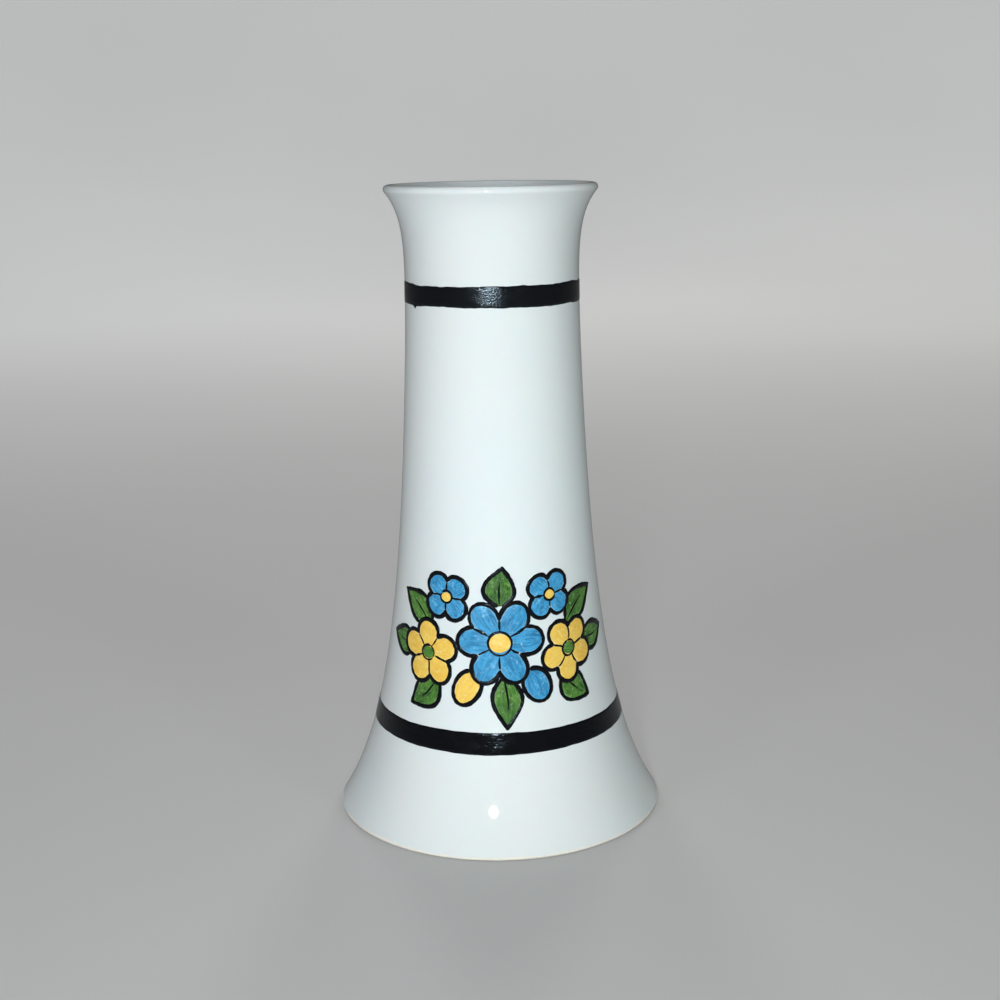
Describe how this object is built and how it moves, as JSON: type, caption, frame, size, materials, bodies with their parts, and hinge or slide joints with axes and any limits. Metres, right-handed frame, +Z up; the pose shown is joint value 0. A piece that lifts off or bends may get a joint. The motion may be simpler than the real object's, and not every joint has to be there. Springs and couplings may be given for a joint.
{
  "type": "hat pin holder",
  "caption": "Waisted porcelain hat pin holder with a flared foot and lip, a pierced plate inside the mouth, dark painted bands and an enamelled posy on the front.",
  "frame": {"origin": "centre of the foot ring's resting plane, on the body's axis", "axes": "+Z up along the axis of the body, -Y towards the painted front, +X to the right of someone who faces that front"},
  "size_m": [0.0636, 0.0636, 0.121],
  "materials": {
    "white_glaze": "clear glossy glaze over white porcelain, bare on the foot ring",
    "black_enamel": "brushed on-glaze enamel, glossy with a finely broken surface",
    "blue_enamel": "brushed on-glaze enamel, streaked light and dark",
    "yellow_enamel": "brushed on-glaze enamel, warm and nearly even",
    "green_enamel": "brushed on-glaze enamel, streaked light and dark"
  },
  "bodies": {
    "root": {"body": "white_glaze", "pin_plate": "white_glaze", "lower_band": "black_enamel", "upper_band": "black_enamel", "posy_outline": "black_enamel", "anemone": "blue_enamel", "anemone_eye": "yellow_enamel", "primrose_left": "yellow_enamel", "primrose_left_eye": "green_enamel", "primrose_right": "yellow_enamel", "primrose_right_eye": "green_enamel", "speedwell_left": "blue_enamel", "speedwell_left_eye": "yellow_enamel", "speedwell_right": "blue_enamel", "speedwell_right_eye": "yellow_enamel", "leaf_top": "green_enamel", "leaf_upper_left": "green_enamel", "leaf_upper_right": "green_enamel", "leaf_outer_left": "green_enamel", "leaf_outer_right": "green_enamel", "leaf_lower_left": "green_enamel", "leaf_lower_right": "green_enamel", "leaf_bottom": "green_enamel", "bud_left": "yellow_enamel", "bud_right": "blue_enamel"}
  },
  "joints": []
}
